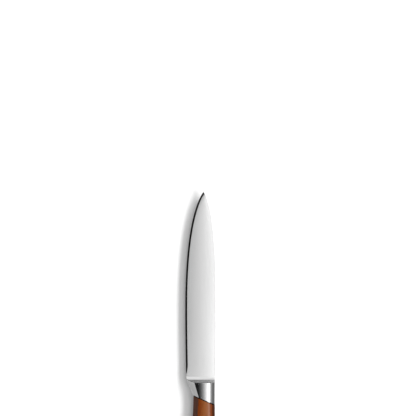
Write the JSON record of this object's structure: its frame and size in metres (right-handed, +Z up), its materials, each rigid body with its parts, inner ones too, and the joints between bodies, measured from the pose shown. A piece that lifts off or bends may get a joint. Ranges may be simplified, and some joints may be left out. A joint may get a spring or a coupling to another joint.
{
  "type": "kitchen utility knife",
  "caption": "Kitchen utility knife with a slim pointed blade, forged bolster, full tang and riveted wooden handle scales, for slicing and trimming food.",
  "frame": {"origin": "middle of the knife's outline, on the surface that it lies on", "axes": "+Z up from the surface, the knife lying on its right flank; +Y to the tip; +X to the spine"},
  "size_m": [0.0208, 0.2484, 0.012],
  "materials": {
    "blade_steel": "polished stainless steel with a fine lengthwise grain",
    "handle_wood": "oiled reddish-brown wood, satin",
    "rivet_steel": "stainless steel, ground flush"
  },
  "bodies": {
    "root": {"forged_blade": "blade_steel", "left_scale": "handle_wood", "right_scale": "handle_wood", "front_rivet_sleeve": "rivet_steel", "front_rivet_stud": "rivet_steel", "middle_rivet_sleeve": "rivet_steel", "middle_rivet_stud": "rivet_steel", "rear_rivet_sleeve": "rivet_steel", "rear_rivet_stud": "rivet_steel"}
  },
  "joints": []
}
